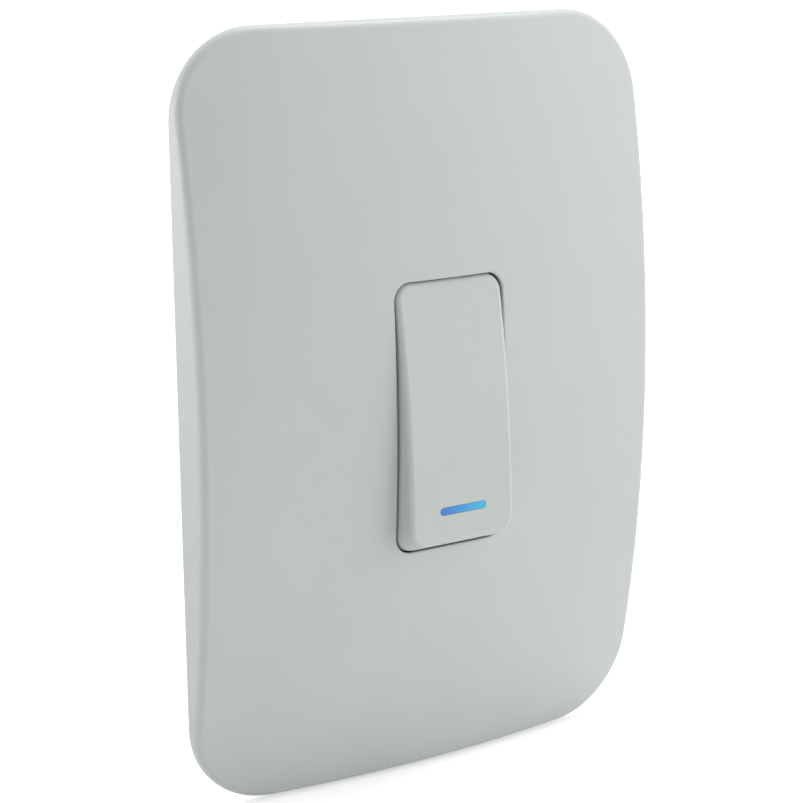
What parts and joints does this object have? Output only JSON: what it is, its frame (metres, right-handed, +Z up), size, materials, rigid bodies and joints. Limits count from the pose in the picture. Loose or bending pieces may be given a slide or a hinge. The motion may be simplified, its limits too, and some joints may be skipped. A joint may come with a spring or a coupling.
{
  "type": "light switch",
  "caption": "White one-way rocker light switch: crowned, round-cornered cover plate with a narrow upright rocker marked by a blue bar, and a clip-in contact module behind.",
  "frame": {"origin": "midway between the two wall-box screw slots, on the wall's surface", "axes": "+X to the right seen from the front, +Y into the wall, +Z up"},
  "size_m": [0.083, 0.0406, 0.12],
  "materials": {
    "white_cover": "satin",
    "white_rocker": "satin",
    "blue_locator": "gloss",
    "white_frame": "matte",
    "white_housing": "matte",
    "natural_plunger": "matte",
    "spring_steel": "satin",
    "contact_copper": "satin",
    "contact_silver": "satin",
    "strip_brass": "satin",
    "terminal_brass": "satin",
    "screw_steel": "satin"
  },
  "bodies": {
    "housing": {"cover_plate": "white_cover", "support_frame": "white_frame", "module_collar": "white_housing", "module_base": "white_housing", "fixed_contact_strip": "strip_brass", "fixed_contact_tip": "contact_silver", "common_contact_strip": "strip_brass", "terminal_block_common": "terminal_brass", "terminal_block_load": "terminal_brass", "terminal_screw_common": "screw_steel", "terminal_screw_load": "screw_steel"},
    "lever": {"rocker": "white_rocker", "locator_strip": "blue_locator", "plunger_spring": "spring_steel"},
    "pusher": {"plunger": "natural_plunger"},
    "contact_bar": {"moving_contact": "contact_copper", "moving_contact_tip": "contact_silver"}
  },
  "joints": [
    {"name": "rocker_hinge", "type": "hinge", "parent": "housing", "child": "lever", "pos_m": [0, -0.0038, 0], "axis": [1, 0, 0], "range_deg": [0, 11.6]},
    {"name": "contact_hinge", "type": "hinge", "parent": "housing", "child": "contact_bar", "pos_m": [0, 0.009, 0], "axis": [1, 0, 0], "range_deg": [-16.6, 0]},
    {"name": "plunger_slide", "type": "slide", "parent": "lever", "child": "pusher", "axis": [0, -0.9949, 0.1011], "range_m": [0, 0.006], "stiffness_N_per_m": 500, "springref_m": -0.003, "deforming": ["plunger_spring"]}
  ],
  "couplings": [
    {"joint": "contact_hinge", "follows": "rocker_hinge", "ratio": -1.431}
  ]
}
